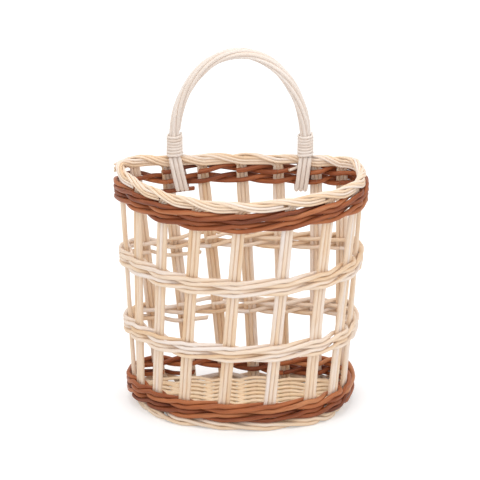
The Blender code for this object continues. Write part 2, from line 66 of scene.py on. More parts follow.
wall = {
    "rimWidth": 0.2185, "rimDepth": 0.1160, "footWidth": 0.1950, "footDepth": 0.0970, "rimHeight": 0.2262,
    "seat": Vector((-0.0006333, 0.0575640, 0)),    # from the back of the wall line to the frame's origin
    "rimPlan": [    # corners, as shares of half the width and of the depth
        (0.02, 1.0), (0.3, 0.955), (0.57, 0.85), (0.73, 0.772), (0.86, 0.668), (0.95, 0.56),
        (1.0, 0.4), (0.985, 0.2), (0.9, 0.08), (0.6, 0.045), (0.3, 0.03), (0.0, 0.0),
        (-0.3, 0.02), (-0.6, 0.045), (-0.88, 0.055), (-0.985, 0.16), (-0.97, 0.31), (-0.885, 0.483),
        (-0.74, 0.67), (-0.61, 0.79), (-0.42, 0.905), (-0.22, 0.975),
    ],
    "footPlan": [
        (0.1, 1.0), (0.41, 0.955), (0.62, 0.885), (0.745, 0.83), (0.843, 0.755), (0.925, 0.64),
        (0.985, 0.47), (1.0, 0.24), (0.93, 0.075), (0.65, 0.035), (0.3, 0.02), (0.0, 0.0),
        (-0.3, 0.01), (-0.6, 0.03), (-0.86, 0.05), (-0.975, 0.18), (-0.995, 0.38), (-0.915, 0.565),
        (-0.79, 0.7), (-0.63, 0.83), (-0.42, 0.915), (-0.17, 0.97),
    ],
    "rimStations": [    # where the uprights stand, as shares of the line's length
        -0.003, 0.0786, 0.1504, 0.2094, 0.256, 0.3328, 0.3752, 0.438,
        0.4996, 0.5654, 0.6239, 0.6766, 0.7287, 0.7995, 0.8625, 0.9254,
    ],
    "footStations": [
        -0.0482, 0.0263, 0.1184, 0.1853, 0.228, 0.3135, 0.3665, 0.4197,
        0.474, 0.5294, 0.5951, 0.657, 0.7290, 0.770, 0.830, 0.886,
    ],
    "planSteps": 40,
    "stakeRod": 0.0019, "stakePitch": 0.0037,    # radius of an upright's rods, and from one to the next
    "clear": 0.0003, "chord": 0.0002,     # gap between rods, and room for a bent rod's chords
    "cornerRoom": 0.0015,                 # a strand swings out this far for each radian between uprights
    "toeFrom": 0.066, "toeShare": 0.78,   # the foot row keeps this share of its width past this place
    "toeHeights": (0.0060, 0.0108),       # from the foot row up to where the wall is full width
}
stakeCount = len(wall["rimStations"])
up = Vector((0, 0, 1))


def catmull(before, start, end, after, part):
    return 0.5 * (
        2 * start + (end - before) * part
        + (2 * before - 5 * start + 4 * end - after) * part ** 2
        + (3 * start - before - 3 * end + after) * part ** 3
    )


def eased(value, low, high):
    part = min(1, max(0, (value - low) / (high - low)))
    return part * part * (3 - 2 * part)


def tracePlan(table, width, depth):
    corners = [Vector((x * width / 2, -y * depth, 0)) for x, y in table]
    steps = wall["planSteps"]
    line = []
    for i in range(len(corners)):
        four = [corners[(i + shift) % len(corners)] for shift in (-1, 0, 1, 2)]
        line += [catmull(*four, step / steps) for step in range(steps)]
    return line + line[:1]


rimLine = tracePlan(wall["rimPlan"], wall["rimWidth"], wall["rimDepth"])
footLine = tracePlan(wall["footPlan"], wall["footWidth"], wall["footDepth"])
planRuns = [(b - a).length for a, b in zip(rimLine, rimLine[1:])]
planShares = [0.0]
for run in planRuns:
    planShares.append(planShares[-1] + run / sum(planRuns))


def planPoint(share, height):
    place = share % 1
    high = bisect.bisect_right(planShares, place)
    low = high - 1
    part = (place - planShares[low]) / (planShares[high] - planShares[low])
    foot, rim = (line[low].lerp(line[high], part) for line in (footLine, rimLine))
    point = foot.lerp(rim, height / wall["rimHeight"])
    spare = max(0, abs(point.x) - wall["toeFrom"]) * (1 - wall["toeShare"])
    point.x -= math.copysign(spare * (1 - eased(height, *wall["toeHeights"])), point.x)
    point.z = height
    return point


def planNormal(share, height):
    step = 1 / len(planRuns)
    along = planPoint(share + step, height) - planPoint(share - step, height)
    return Vector((along.y, -along.x, 0)).normalized()


def stationShare(station, height):    # station 0 is the front middle upright, 1 the next by the right
    whole = math.floor(station)
    part = station - whole
    rise = height / wall["rimHeight"]

    def at(table):
        ends = [table[(whole + way) % stakeCount] + (whole + way) // stakeCount for way in (0, 1)]
        return ends[0] + (ends[1] - ends[0]) * part

    return at(wall["footStations"]) * (1 - rise) + at(wall["rimStations"]) * rise


def wallNormal(station, height):
    return planNormal(stationShare(station, height), height)


def wallPoint(station, height, outward=0):
    share = stationShare(station, height)
    return planPoint(share, height) + planNormal(share, height) * outward


def alongWall(normal):
    return Vector((-normal.y, normal.x, 0))


# Rods: every piece is made of them. Each is a round face pushed along its path, ring by ring,
# and keeps its own straightened place in the rodSpace attribute, which the grain follows.
# The sizes given for rods are radii.

rodMake = {
    "capShares": (0.3, 0.85),                 # two smaller rings close each end, for the end grain
    "wobble": 0.00012, "wobblePitch": 160,    # uneven thickness, and how quickly it changes along a rod
    "grainPitch": 100, "grainStart": 50,      # grain units to a metre, and the range of random starts
    "sharpAngle": 50,
}


def smoothPath(points, steps):
    ends = [points[0] * 2 - points[1]] + list(points) + [points[-1] * 2 - points[-2]]
    line = []
    for i in range(len(points) - 1):
        line += [catmull(*ends[i:i + 4], step / steps) for step in range(steps)]
    return line + [points[-1].copy()]


def spread(values, steps):
    line = []
    for first, last in zip(values, values[1:]):
        line += [first + (last - first) * step / steps for step in range(steps)]
    return line + [values[-1]]


def pastEnd(end, before, distance):
    return end + (end - before).normalized() * distance


def startMesh():
    shape = bmesh.new()
    shape.verts.layers.float_vector.new("rodSpace")
    shape.verts.layers.float.new("rodTone")
    return shape


def rodStations(line, radii, keepUpright):    # spot, aim, side, across, radius and length so far
    runs = [(b - a).normalized() for a, b in zip(line, line[1:])]
    aims = [runs[0]] + [(a + b).normalized() for a, b in zip(runs, runs[1:])] + [runs[-1]]
    side = (up.copy() if keepUpright else aims[0].orthogonal()).normalized()
    stations = []
    length = 0.0
    for i, (spot, aim, radius) in enumerate(zip(line, aims, radii)):
        if i:
            length += (spot - line[i - 1]).length
        if keepUpright:
            side = up.copy()
        side = (side - aim * side.dot(aim)).normalized()
        stations.append((spot, aim, side.copy(), aim.cross(side), radius, length))
    return stations


def addRod(shape, line, radii, dice, sides, cutStart, cutEnd, flatness=1):
    space = shape.verts.layers.float_vector["rodSpace"]
    tone = shape.verts.layers.float["rodTone"]
    radii = radii if isinstance(radii, list) else [radii] * len(line)
    reach = rodMake["grainStart"]
    seed = Vector([dice.uniform(-reach, reach) for axis in range(3)])
    shade = dice.random()
    tilts = (dice.uniform(0, math.tau), dice.uniform(0, math.tau))

    # Both ends are cut a little askew
    stations = rodStations(line, radii, flatness != 1)
    caps = rodMake["capShares"]
    rings = [(stations[0], share, cutStart, tilts[0]) for share in (*caps, 1)]
    rings += [(station, 1, 0, 0) for station in stations[1:-1]]
    rings += [(stations[-1], share, cutEnd, tilts[1]) for share in (1, *reversed(caps))]

    made = bmesh.ops.create_circle(shape, cap_ends=True, segments=sides, radius=1)
    face = made["verts"][0].link_faces[0]
    firstFace = face
    for i, (station, share, cut, tilt) in enumerate(rings):
        if i:
            pushed = bmesh.ops.extrude_face_region(shape, geom=[face])
            if face is not firstFace:
                shape.faces.remove(face)
            face = next(item for item in pushed["geom"] if isinstance(item, bmesh.types.BMFace))
        spot, aim, side, across, radius, length = station
        for j, vert in enumerate(face.verts):
            angle = math.tau * j / sides
            around = Vector((math.cos(angle), math.sin(angle), length * rodMake["wobblePitch"]))
            bump = 1 + noise.noise(seed + around) * rodMake["wobble"] / radius
            lean = math.cos(angle - tilt) * cut * radius * share
            flat = Vector((math.cos(angle), math.sin(angle), 0)) * radius * share * bump
            vert.co = spot + side * flat.x * flatness + across * flat.y + aim * lean
            vert[space] = Vector((flat.x / radius, flat.y / radius, length * rodMake["grainPitch"] + seed.z))
            vert[tone] = shade


# Finishes: fine lengthwise grain, a tone for each rod, pale end grain with a darker pith. On brown rods the
# pale fibre streaks are partly grain and partly a painted highlight

rodFinishes = {
    "natural": {
        "slot": "natural_rod", "roughness": 0.62, "specular": 0.35, "bump": 0.35,
        "tints": [(0.91, 0.82, 0.76), (0.91, 0.77, 0.65), (0.89, 0.70, 0.52), (0.82, 0.58, 0.37)],
        "streak": (0.62, 0.36, 0.18), "fibreAndSheen": (0.62, 0.36, 0.18),
        "end": (0.86, 0.72, 0.53), "pith": (0.42, 0.25, 0.14),
    },
    "brown": {
        "slot": "brown_rod", "roughness": 0.42, "specular": 0.30, "bump": 0.3,
        "tints": [(0.56, 0.230, 0.100), (0.43, 0.130, 0.042), (0.28, 0.070, 0.021), (0.13, 0.028, 0.010)],
        # brown rods: the pale fibre colour is partly grain and partly a painted highlight along the rods
        "streak": (0.07, 0.016, 0.007), "fibreAndSheen": (0.85, 0.46, 0.29),
        "end": (0.62, 0.42, 0.25), "pith": (0.30, 0.15, 0.08),
    },
    # base: a paler copy of the natural rods, painted light that makes up for the shade inside the basket
    "base": {
        "slot": "natural_rod", "roughness": 0.6, "specular": 0.3, "bump": 0.3,
        "tints": [(0.99, 0.86, 0.69), (0.99, 0.82, 0.61), (0.99, 0.77, 0.52), (0.97, 0.70, 0.42)],
        "streak": (0.74, 0.48, 0.24), "fibreAndSheen": (0.74, 0.48, 0.24),
        "end": (0.86, 0.72, 0.53), "pith": (0.42, 0.25, 0.14),
    },
    "handle": {
        "slot": "handle_rod", "roughness": 0.58, "specular": 0.35, "bump": 0.35,
        "tints": [(0.90, 0.84, 0.79), (0.89, 0.80, 0.73), (0.86, 0.75, 0.66), (0.81, 0.67, 0.55)],
        "streak": (0.66, 0.47, 0.34), "fibreAndSheen": (0.66, 0.47, 0.34),
        "end": (0.84, 0.73, 0.60), "pith": (0.45, 0.30, 0.20),
    },
}

# Each pattern shows from its low to its high value, and there goes from one strength to the other
rodPatterns = {
    "lines": {"scale": (2.2, 2.2, 0.25), "size": 3.0, "detail": 5, "rough": 0.65,
              "shows": (0.52, 0.8, 0, 0.75)},
    "fibreAndSheen": {"scale": (6.0, 6.0, 0.5), "size": 3.0, "detail": 3, "rough": 0.6,
              "shows": (0.55, 0.85, 0, 0.45)},
    "specks": {"scale": (1.2, 1.2, 1.2), "size": 2.2, "detail": 2, "rough": 0.6,
               "shows": (0.72, 0.8, 0, 0.6)},
    "drift": {"scale": (0.25, 0.25, 0.12), "size": 1.3, "detail": 3, "rough": 0.6,
              "shows": (0.35, 0.65, -0.15, 0.35)},
}
rodLook = {
    "toneReach": 0.75,    # how far along the tints a rod's own tone may lie
    "pithEdge": (0.25, 0.4), "barkEdge": (0.84, 0.92),    # on a cut end, as shares of the radius
    "glossFrom": (0.3, 0.8), "glossDrift": (-0.08, 0.14),
    "bumpDepth": 0.0003, "bumpFibre": 0.4,
}


def makeRodMaterial(name, finish):
    material = bpy.data.materials.new(name)
    material.use_nodes = True
    nodes = material.node_tree.nodes
    links = material.node_tree.links
    shader = nodes["Principled BSDF"]
    shader.inputs["Specular IOR Level"].default_value = finish["specular"]

    place = nodes.new("ShaderNodeAttribute")
    place.attribute_name = "rodSpace"
    tone = nodes.new("ShaderNodeAttribute")
    tone.attribute_name = "rodTone"

    def pattern(setting):
        mapping = nodes.new("ShaderNodeMapping")
        mapping.inputs["Scale"].default_value = setting["scale"]
        links.new(place.outputs["Vector"], mapping.inputs["Vector"])
        texture = nodes.new("ShaderNodeTexNoise")
        texture.inputs["Scale"].default_value = setting["size"]
        texture.inputs["Detail"].default_value = setting["detail"]
        texture.inputs["Roughness"].default_value = setting["rough"]
        links.new(mapping.outputs["Vector"], texture.inputs["Vector"])
        return texture.outputs["Fac"]

    def ramp(value, low, high, bottom=0, top=1):
        node = nodes.new("ShaderNodeMapRange")
        for socket, number in zip(("From Min", "From Max", "To Min", "To Max"), (low, high, bottom, top)):
            node.inputs[socket].default_value = number
        links.new(value, node.inputs["Value"])
        return node.outputs["Result"]

    def blend(factor, first, second):
        mix = nodes.new("ShaderNodeMix")
        mix.data_type = "RGBA"
        sockets = (mix.inputs["Factor"], mix.inputs[6], mix.inputs[7])
        for socket, value in zip(sockets, (factor, first, second)):
            if isinstance(value, bpy.types.NodeSocket):
                links.new(value, socket)
            elif isinstance(value, tuple):
                socket.default_value = (*value, 1)
            else:
                socket.default_value = value
        return mix.outputs[2]

    patterns = {kind: pattern(setting) for kind, setting in rodPatterns.items()}
    shown = {kind: ramp(patterns[kind], *rodPatterns[kind]["shows"]) for kind in patterns}

    # Every rod starts from its own tint, which drifts slowly along it
    tintPlace = nodes.new("ShaderNodeMath")
    tintPlace.operation = "ADD"
    links.new(ramp(tone.outputs["Fac"], 0, 1, 0, rodLook["toneReach"]), tintPlace.inputs[0])
    links.new(shown["drift"], tintPlace.inputs[1])
    tints = nodes.new("ShaderNodeValToRGB")
    stops = tints.color_ramp.elements
    while len(stops) < len(finish["tints"]):
        stops.new(0.5)
    for i, tint in enumerate(finish["tints"]):
        stops[i].position = i / (len(finish["tints"]) - 1)
        stops[i].color = (*tint, 1)
    links.new(tintPlace.outputs["Value"], tints.inputs["Fac"])
    body = blend(shown["lines"], tints.outputs["Color"], finish["streak"])
    # fibre streaks: grain, and on brown rods partly a painted highlight
    body = blend(shown["fibreAndSheen"], body, finish["fibreAndSheen"])
    body = blend(shown["specks"], body, finish["streak"])

    # End grain: the middle of the cut faces
    split = nodes.new("ShaderNodeSeparateXYZ")
    links.new(place.outputs["Vector"], split.inputs["Vector"])
    flat = nodes.new("ShaderNodeCombineXYZ")
    links.new(split.outputs["X"], flat.inputs["X"])
    links.new(split.outputs["Y"], flat.inputs["Y"])
    distance = nodes.new("ShaderNodeVectorMath")
    distance.operation = "LENGTH"
    links.new(flat.outputs["Vector"], distance.inputs[0])
    fromMiddle = distance.outputs["Value"]
    ends = blend(ramp(fromMiddle, *rodLook["pithEdge"]), finish["pith"], finish["end"])
    colour = blend(ramp(fromMiddle, *rodLook["barkEdge"]), ends, body)
    links.new(colour, shader.inputs["Base Color"])

    rough = [finish["roughness"] + change for change in rodLook["glossDrift"]]
    links.new(ramp(patterns["lines"], *rodLook["glossFrom"], *rough), shader.inputs["Roughness"])
    bump = nodes.new("ShaderNodeBump")
    bump.inputs["Strength"].default_value = finish["bump"]
    bump.inputs["Distance"].default_value = rodLook["bumpDepth"]
    links.new(blend(rodLook["bumpFibre"], patterns["lines"], patterns["fibreAndSheen"]), bump.inputs["Height"])
    links.new(bump.outputs["Normal"], shader.inputs["Normal"])
    return material


rodMaterials = {kind: makeRodMaterial(f"{kind}Rods", finish) for kind, finish in rodFinishes.items()}
seatMatrix = Matrix.Translation(wall["seat"])
print("finishes made")


def finishPiece(name, shape, kind, node):
    bmesh.ops.recalc_face_normals(shape, faces=shape.faces)
    mesh = bpy.data.meshes.new(name)
    shape.to_mesh(mesh)
    shape.free()
    mesh.transform(seatMatrix)
    mesh.shade_smooth()
    mesh.set_sharp_from_angle(angle=math.radians(rodMake["sharpAngle"]))
    mesh.materials.append(rodMaterials[kind])
    piece = bpy.data.objects.new(name, mesh)
    bpy.context.scene.collection.objects.link(piece)
    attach(piece, "root")
    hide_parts(node)


# Uprights: three rods each, which bend over at the rim. There each group runs inside the next one,
# rolls over the top in a long slant and is tucked in again on the outside.

border = {
    "rod": 0.00135, "tip": 0.00115, "bend": 0.0070,
    "levels": (0, 0.0025, 0.005, 0.0075, 0.010, 0.013, 0.018, 0.027, 0.042, 0.066, 0.093, 0.120, 0.147,
               0.173, 0.198),
    "turns": (0.33, 0.67, 1),    # points on the bend, as shares of a quarter turn
    "inside": 0.95,              # gaps from its own upright to where it is all inside
    "roll": (1.0, 2.43),         # gaps to where it starts and ends rolling over
    "tuck": (2.5, 2.95),         # gaps to where it turns in again, and to its end
    "crown": 0.0014,             # how much the middle of each roll stands up
    "ease": 0.25, "reach": 0.0031, "tuckReach": 0.0012, "shoulder": 0.0008,
    "proud": {"upright": 9, "start": 2.35, "stride": 0.8},    # its rods run straight on past the corner
    "loose": {"upright": 6, "rod": -1, "start": 0.2, "end": 0.80, "inward": 0.0042, "drop": 0.0042},
    "wander": 0.0003, "wanderPlace": (3.1, 18, 0.5), "rollWander": 0.05,    # how unevenly rods lie
    "thickness": (0.97, 1.03), "cuts": (0.2, 0.7),
    "step": 0.125, "smooth": 3, "sides": 12, "seed": 100,
}
borderShare = border["rod"] / wall["stakeRod"]
borderPitch = wall["stakePitch"] * borderShare
borderHalf = (wall["stakePitch"] + wall["stakeRod"]) * borderShare
rimTop = wall["rimHeight"] + border["shoulder"] + border["reach"] + border["rod"]
overLength = 2 * border["shoulder"] + math.pi * border["reach"]


def overRim(place):    # outward and up, for a distance along the line over the rim from its inner face
    reach, shoulder = border["reach"], border["shoulder"]
    if place < shoulder:
        return -reach, place
    if place > overLength - shoulder:
        return reach, overLength - place
    angle = (place - shoulder) / reach
    return -reach * math.cos(angle), shoulder + reach * math.sin(angle)


def standingPart(number, way, dice):    # from the ground up to the bend
    bendStart = wall["rimHeight"] - border["bend"]
    spots = []
    radii = []
    for height in (*border["levels"], bendStart):
        narrow = 1 if height < bendStart else (1 + borderShare) / 2
        across, along, seed = border["wanderPlace"]
        place = Vector((number * across + way, height * along, seed))
        drift = noise.noise(place) * border["wander"]
        apart = alongWall(wallNormal(number, height)) * way * wall["stakePitch"] * narrow
        spots.append(wallPoint(number, height, drift) - apart)
        radii.append(wall["stakeRod"] * narrow * dice.uniform(*border["thickness"]))
    return spots, radii


def bentPart(number, way, bendEnd):
    radius = border["bend"] + way * borderPitch
    spots = []
    for turn in border["turns"]:
        angle = math.pi / 2 * turn
        station = number + bendEnd * (1 - math.cos(angle) * radius / border["bend"])
        spot = wallPoint(station, wall["rimHeight"])
        spot.z += math.sin(angle) * radius - border["bend"]
        spots.append(spot)
    return spots


def rollSpot(number, way, part, bendEnd, rollStart, rollEnd):
    steady = min(1, max(0, (part - rollStart) / (rollEnd - rollStart)))
    travel = steady + (eased(part, rollStart, rollEnd) - steady) * border["ease"]
    outward, rise = overRim(overLength * travel + way * borderPitch)
    outward *= eased(part, bendEnd, border["inside"])
    outward -= (border["reach"] - border["tuckReach"]) * eased(part, *border["tuck"])
    spot = wallPoint(number + part, wall["rimHeight"], outward)
    spot.z += rise + border["crown"] * math.sin(math.pi * travel) ** 2
    return spot


def makeUpright(number):
    dice = random.Random(border["seed"] + number)
    gap = (wallPoint(number + 1, wall["rimHeight"]) - wallPoint(number, wall["rimHeight"])).length
    bendEnd = border["bend"] / gap
    roll = [share + dice.uniform(-1, 1) * border["rollWander"] for share in border["roll"]]
    loose, proud = border["loose"], border["proud"]
    shape = startMesh()
    for way in (-1, 0, 1):
        spots, radii = standingPart(number, way, dice)
        spots += bentPart(number, way, bendEnd)
        radii += [border["rod"]] * len(border["turns"])
        end = border["tuck"][1] + dice.uniform(-1, 1) * border["rollWander"]
        isLoose = (number, way) == (loose["upright"], loose["rod"])
        if isLoose:
            end = loose["end"]
        part = bendEnd + border["step"]
        while part < end:
            spot = rollSpot(number, way, part, bendEnd, *roll)
            if isLoose:
                leaving = eased(part, loose["start"], loose["end"])
                spot -= wallNormal(number + part, wall["rimHeight"]) * loose["inward"] * leaving
                spot.z -= loose["drop"] * leaving
            if number == proud["upright"] and part > proud["start"]:
                spot = spots[-1] + (spots[-1] - spots[-2]) * proud["stride"]
            spots.append(spot)
            radii.append(border["rod"] + (border["tip"] - border["rod"]) * part / border["tuck"][1])
            part += border["step"]
        line = smoothPath(spots, border["smooth"])
        cut = dice.uniform(*border["cuts"])
        addRod(shape, line, spread(radii, border["smooth"]), dice, border["sides"], 0, cut)
    finishPiece(f"uprightRods{number + 1:02d}", shape, "natural", f"stake_{number + 1:02d}")


for number in range(stakeCount):
    makeUpright(number)
print("uprights and border made")


# Woven bands: a strand goes inside one upright, outside the next two and in again

bands = {
    "waleRod": 0.0022, "bandRod": 0.0019, "footRod": 0.0019, "rimWaleGap": 0.0003,
    "upperLevel": 0.1470, "lowerLevel": 0.0800,
    "start": 10, "stations": 30, "ramp": 3,        # first upright, gaps passed, and gaps on the step up
    "sides": (-1, 0, 1, 1, 1, 0),                  # in or out, at each half gap of a turn of the weave
    "climbs": (0, -1, -1, 0, 1, 1),                # and down or up
    "turnPoints": 9,                               # points of the path in one turn of the weave
    "rodTurns": (2, 3), "lastTurns": 3.5,          # turns that a rod spans, and the most for the last rod
    "thick": 1.04, "thin": 0.90, "joint": 0.45,    # a rod thins from its thick end to its tip
    "jointCut": 0.1, "endCut": 0.5,
    "looseEnd": 0.018,                             # the first strand starts this far before its upright
    "steps": 5, "rodSides": 12,
    "seeds": {"rim": 200, "upper": 210, "lower": 220, "foot": 230, "footRow": 240},
}
waleHalf = 4 * bands["waleRod"] + wall["clear"]
rimLevel = wall["rimHeight"] - borderHalf - bands["rimWaleGap"] - waleHalf
footRowLevel = 2 * bands["footRod"] + wall["clear"] * 1.5
footRowTop = 2 * footRowLevel - wall["clear"]
footLevel = footRowTop + waleHalf + 2 * wall["clear"]


def crossingShift(station, height):
    turn = wallNormal(math.floor(station), height).angle(wallNormal(math.ceil(station), height))
    return wall["cornerRoom"] * turn if station % 1 else 0


def strandReach(radius):
    return wall["stakeRod"] + radius + wall["clear"] + wall["chord"]


def runDistance(spot, start, end):    # from a spot to the run between two points
    run = end - start
    part = min(1, max(0, (spot - start).dot(run) / run.length_squared))
    return (start + run * part - spot).length


def passingPoints(number, level, climb, radius, side, slope):    # close beside an upright, on both sides
    here = wallPoint(number, level(number))
    normal = wallNormal(number, here.z)
    along = alongWall(normal)
    points = []
    for way in (-1, 1):
        crossing = wallPoint(number + way / 2, here.z, crossingShift(number + way / 2, here.z))
        outerRod = here + along * way * wall["stakePitch"]
        halfGap = (crossing - here).length
        place = wall["stakePitch"]
        while place < halfGap:
            point = here + along * way * place + normal * side * strandReach(radius)
            if runDistance(outerRod, point, crossing) > wall["stakeRod"] + radius + wall["clear"]:
                break
            place += wall["clear"]
        point.z = level(number + way * place / halfGap / 2) + climb + way * slope * place / halfGap
        points.append(point)
    return points


def strandPoints(first, steps, level, radius, slant=1):
    climb = (radius + wall["clear"] / 2) * slant
    turn = len(bands["sides"])
    points = []
    for step in range(steps + 1):
        station = first + step / 2
        side = bands["sides"][step % turn]
        rise = bands["climbs"][step % turn] * climb
        if step % 2 == 0:
            slope = -climb if side < 0 else 0
            points += passingPoints(first + step // 2, level, rise, radius, side, slope)
        else:
            height = level(station) + rise
            outward = crossingShift(station, height)
            points.append(wallPoint(station, height, outward + strandReach(radius) if side else outward))
    return points


def bandLevel(centre, radius, risingEnd):    # two level rounds, with one step up near where they join
    rowPitch = 4 * radius + 2 * wall["clear"]

    def level(station):
        turn, along = divmod(station - bands["start"], stakeCount)
        if risingEnd:
            rise = max(0, (along - stakeCount + bands["ramp"]) / bands["ramp"])
            return centre + rowPitch * (turn + rise - 0.5)
        rise = min(1, along / bands["ramp"])
        return centre + rowPitch * (turn + rise - 1.5)

    return level


def addStrand(shape, points, radius, dice):    # its rods meet end to end behind an upright
    line = smoothPath(points, bands["steps"])
    turn = bands["turnPoints"] * bands["steps"]
    middle = bands["steps"] // 2
    ends = [0]
    while ends[-1] + bands["lastTurns"] * turn < len(line):
        ends.append(ends[-1] + dice.choice(bands["rodTurns"]) * turn)
    ends.append(len(line))
    for first, last in zip(ends, ends[1:]):
        rod = line[first + middle + 1:last + middle + 1] if first else line[:last + middle + 1]
        if first:
            rod.insert(0, line[first + middle].lerp(line[first + middle + 1], 1 - bands["joint"]))
        if last < len(line):
            rod.append(line[last + middle].lerp(line[last + middle + 1], bands["joint"]))
        sizes = [bands["thick"], bands["thin"]]
        if dice.random() >= 0.5:
            sizes.reverse()
        radii = [radius * (sizes[0] + (sizes[1] - sizes[0]) * i / len(rod)) for i in range(len(rod))]
        cutStart = bands["jointCut"] if first else bands["endCut"]
        cutEnd = bands["jointCut"] if last < len(line) else bands["endCut"]
        addRod(shape, rod, radii, dice, bands["rodSides"], cutStart, cutEnd)


def makeBand(name, node, centre, radius, kind, risingEnd=False):
    level = bandLevel(centre, radius, risingEnd)
    for index, letter in enumerate("abc"):
        shape = startMesh()
        points = strandPoints(bands["start"] + index, 2 * bands["stations"], level, radius)
        if index == 0 and not risingEnd:
            points[0] = pastEnd(points[0], points[1], bands["looseEnd"])
        addStrand(shape, points, radius, random.Random(bands["seeds"][name] + index))
        finishPiece(f"{name}BandRod{letter.upper()}", shape, kind, f"{node}_{letter}")


makeBand("rim", "rim_wale", rimLevel, bands["waleRod"], "brown")
makeBand("upper", "upper_band", bands["upperLevel"], bands["bandRod"], "natural")
makeBand("lower", "lower_band", bands["lowerLevel"], bands["bandRod"], "natural")
makeBand("foot", "foot_wale", footLevel, bands["waleRod"], "brown", risingEnd=True)


def footRow(station):
    return footRowLevel


# The foot row goes once round, and slants the other way
for index, letter in enumerate("abc"):
    steps = 2 * (stakeCount - 1) - min(index, 1)
    points = strandPoints(bands["start"] + index, steps, footRow, bands["footRod"], slant=-1)
    shape = startMesh()
    addStrand(shape, points, bands["footRod"], random.Random(bands["seeds"]["footRow"] + index))
    finishPiece(f"footRowRod{letter.upper()}", shape, "natural", f"foot_border_{letter}")
print("bands made")


# Base: sticks from front to back, and one flattened weaver that snakes over and under them

base = {
    "stick": 0.0010, "stickCount": 6, "stickSteps": 8, "stickSeed": 250,
    "halfWidth": 0.00185, "halfHeight": 0.0012, "shownWidth": 0.00225, "shortest": 0.0160,
    "lift": 0.0045,    # above the CAD's, so that it shows over the foot row
    "edgeSteps": 8, "steps": 6, "sides": 10, "cut": 0.25, "weaverSeed": 260,
}
weaverLift = base["stick"] + base["halfHeight"] + wall["clear"]    # over or under a stick
baseLevel = footRowTop + wall["clear"] - weaverLift - base["halfHeight"] + base["lift"]


def baseEdge():
    inward = strandReach(bands["waleRod"]) + bands["waleRod"] + base["halfWidth"]
    line = []
    for step in range(base["edgeSteps"] * stakeCount):
        number, part = divmod(step, base["edgeSteps"])
        line.append(wallPoint(number + part / base["edgeSteps"], baseLevel, -inward))
    return line


def crossedAt(line, axis, value):    # lowest and highest place where the edge crosses a value of x or y
    found = []
    for start, end in zip(line, line[1:] + line[:1]):
        if (start[axis] - value) * (end[axis] - value) <= 0 and start[axis] != end[axis]:
            found.append(start.lerp(end, (value - start[axis]) / (end[axis] - start[axis]))[1 - axis])
    return (min(found), max(found)) if found else None


def baseRows():    # place, left end and right end, from back to front
    line = baseEdge()
    half = base["halfWidth"]
    front, back = crossedAt(line, 0, 0)
    rows = []
    place = back - half
    while place > front:
        spans = [crossedAt(line, 1, place + side) for side in (-half, 0, half)]
        if all(spans):
            left, right = max(low for low, high in spans), min(high for low, high in spans)
            if right - left > base["shortest"]:
                rows.append([place, left, right])
        place -= 2 * half + wall["clear"]
    return rows


rows = baseRows()
crossings = [[] for row in rows]
for index in range(base["stickCount"]):
    low, high = (corner - wall["seat"] for corner in map(Vector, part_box(f"base_stick_{index + 1}")))
    middle = (low + high) / 2
    middle.z += base["lift"]
    front, back = Vector((middle.x, low.y, middle.z)), Vector((middle.x, high.y, middle.z))
    line = [front.lerp(back, step / base["stickSteps"]) for step in range(base["stickSteps"] + 1)]
    shape = startMesh()
    addRod(shape, line, base["stick"], random.Random(base["stickSeed"] + index), base["sides"], 0, 0)
    # the base sticks are painted lighter, to make up for the shade inside the basket
    finishPiece(f"baseStick{index + 1}", shape, "base", f"base_stick_{index + 1}")
    for i, (place, left, right) in enumerate(rows):
        if low.y < place < high.y:
            side = 1 if (i + index) % 2 else -1
            crossings[i].append(Vector((middle.x, place, baseLevel + side * weaverLift)))
points = []
for i, (place, left, right) in enumerate(rows):
    row = [Vector((left, place, baseLevel)), *crossings[i], Vector((right, place, baseLevel))]
    points += row if i % 2 == 0 else row[::-1]
shape = startMesh()
line = smoothPath(points, base["steps"])
dice = random.Random(base["weaverSeed"])
addRod(shape, line, base["shownWidth"], dice, base["sides"], base["cut"], base["cut"],
       flatness=base["halfHeight"] / base["shownWidth"])
# the base weaver is painted lighter, to make up for the shade inside the basket
finishPiece("baseWeaver", shape, "base", "base_weaver")
print("base made")


# Handle: three long rods doubled over the arch, hooked under the rim band at both legs

handle = {
    "rod": 0.0015, "shownRod": 0.0018, "legRod": 0.0019,    # as in the CAD, over the arch, and at the legs
    "span": 0.1188, "rise": 0.1091, "gatherRise": 0.00455, "rope": 0.0034,
    "legPitch": 0.0040, "leftHook": -0.0524, "rightHook": 0.0553, "hookDrop": 0.0022, "hookSteps": 4,
    "middleShare": 0.80, "sideShare": 0.65, "gatherShare": 0.5,
    "backRange": (0.33, 0.66),                              # shares of the wall line that are at the back
    "firstAngle": 30, "rodAngle": 60, "twists": 1, "archSteps": 20, "returnEnd": 0.035,
    "steps": 4, "sides": 12, "cut": 0.5, "seed": 300,
}
binding = {
    "rod": 0.00115, "halfHeight": 0.00142, "halfDepth": 0.0010,    # as in the CAD, and as shown
    "pitch": 0.00275, "turns": 7, "corners": 8, "tail": 0.0012,
    "steps": 3, "sides": 10, "cut": 0.25, "seed": 320,
}
hookHeight = rimLevel - waleHalf - wall["clear"] - handle["rod"] - handle["hookDrop"]
legX = handle["span"] / 2
bindingBase = rimTop + binding["rod"] + wall["clear"]
gatherHeight = bindingBase + binding["pitch"] * binding["turns"] * handle["gatherShare"]
archStart = gatherHeight + handle["gatherRise"]
archRise = wall["rimHeight"] + handle["rise"] - archStart - handle["rope"] - handle["rod"]
shoulderHeight = wall["rimHeight"] + borderHalf


def backWall(place, height):
    low, high = handle["backRange"]
    steps = len(planRuns)
    spots = [planPoint(low + (high - low) * step / steps, height) for step in range(steps)]
    return min(spots, key=lambda spot: abs(spot.x - place)).y


